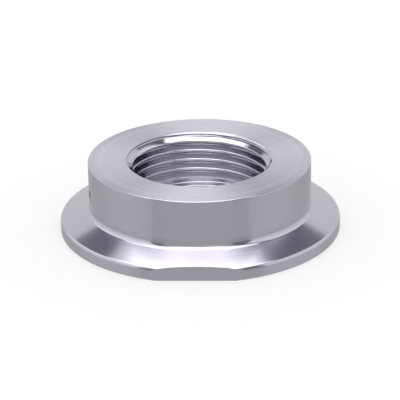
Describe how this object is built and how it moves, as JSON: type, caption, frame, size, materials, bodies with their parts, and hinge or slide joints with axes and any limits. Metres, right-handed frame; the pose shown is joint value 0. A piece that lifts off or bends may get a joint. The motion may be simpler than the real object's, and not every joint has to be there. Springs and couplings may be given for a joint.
{
  "type": "sanitary clamp adapter",
  "caption": "Turned stainless ferrule: a coned clamp flange with a gasket groove, and a short hub with an internal parallel pipe thread, a seat and a leak hole.",
  "frame": {"origin": "middle of the clamp face, at the foot of the bore axis", "axes": "+Z along the bore axis out of the threaded mouth; the flange's flats face -Y and +Y"},
  "size_m": [0.064, 0.0614, 0.0162],
  "materials": {
    "turned_steel": "fine-turned stainless steel with satin circular tool marks"
  },
  "bodies": {
    "root": {"adapter_body": "turned_steel"}
  },
  "joints": []
}
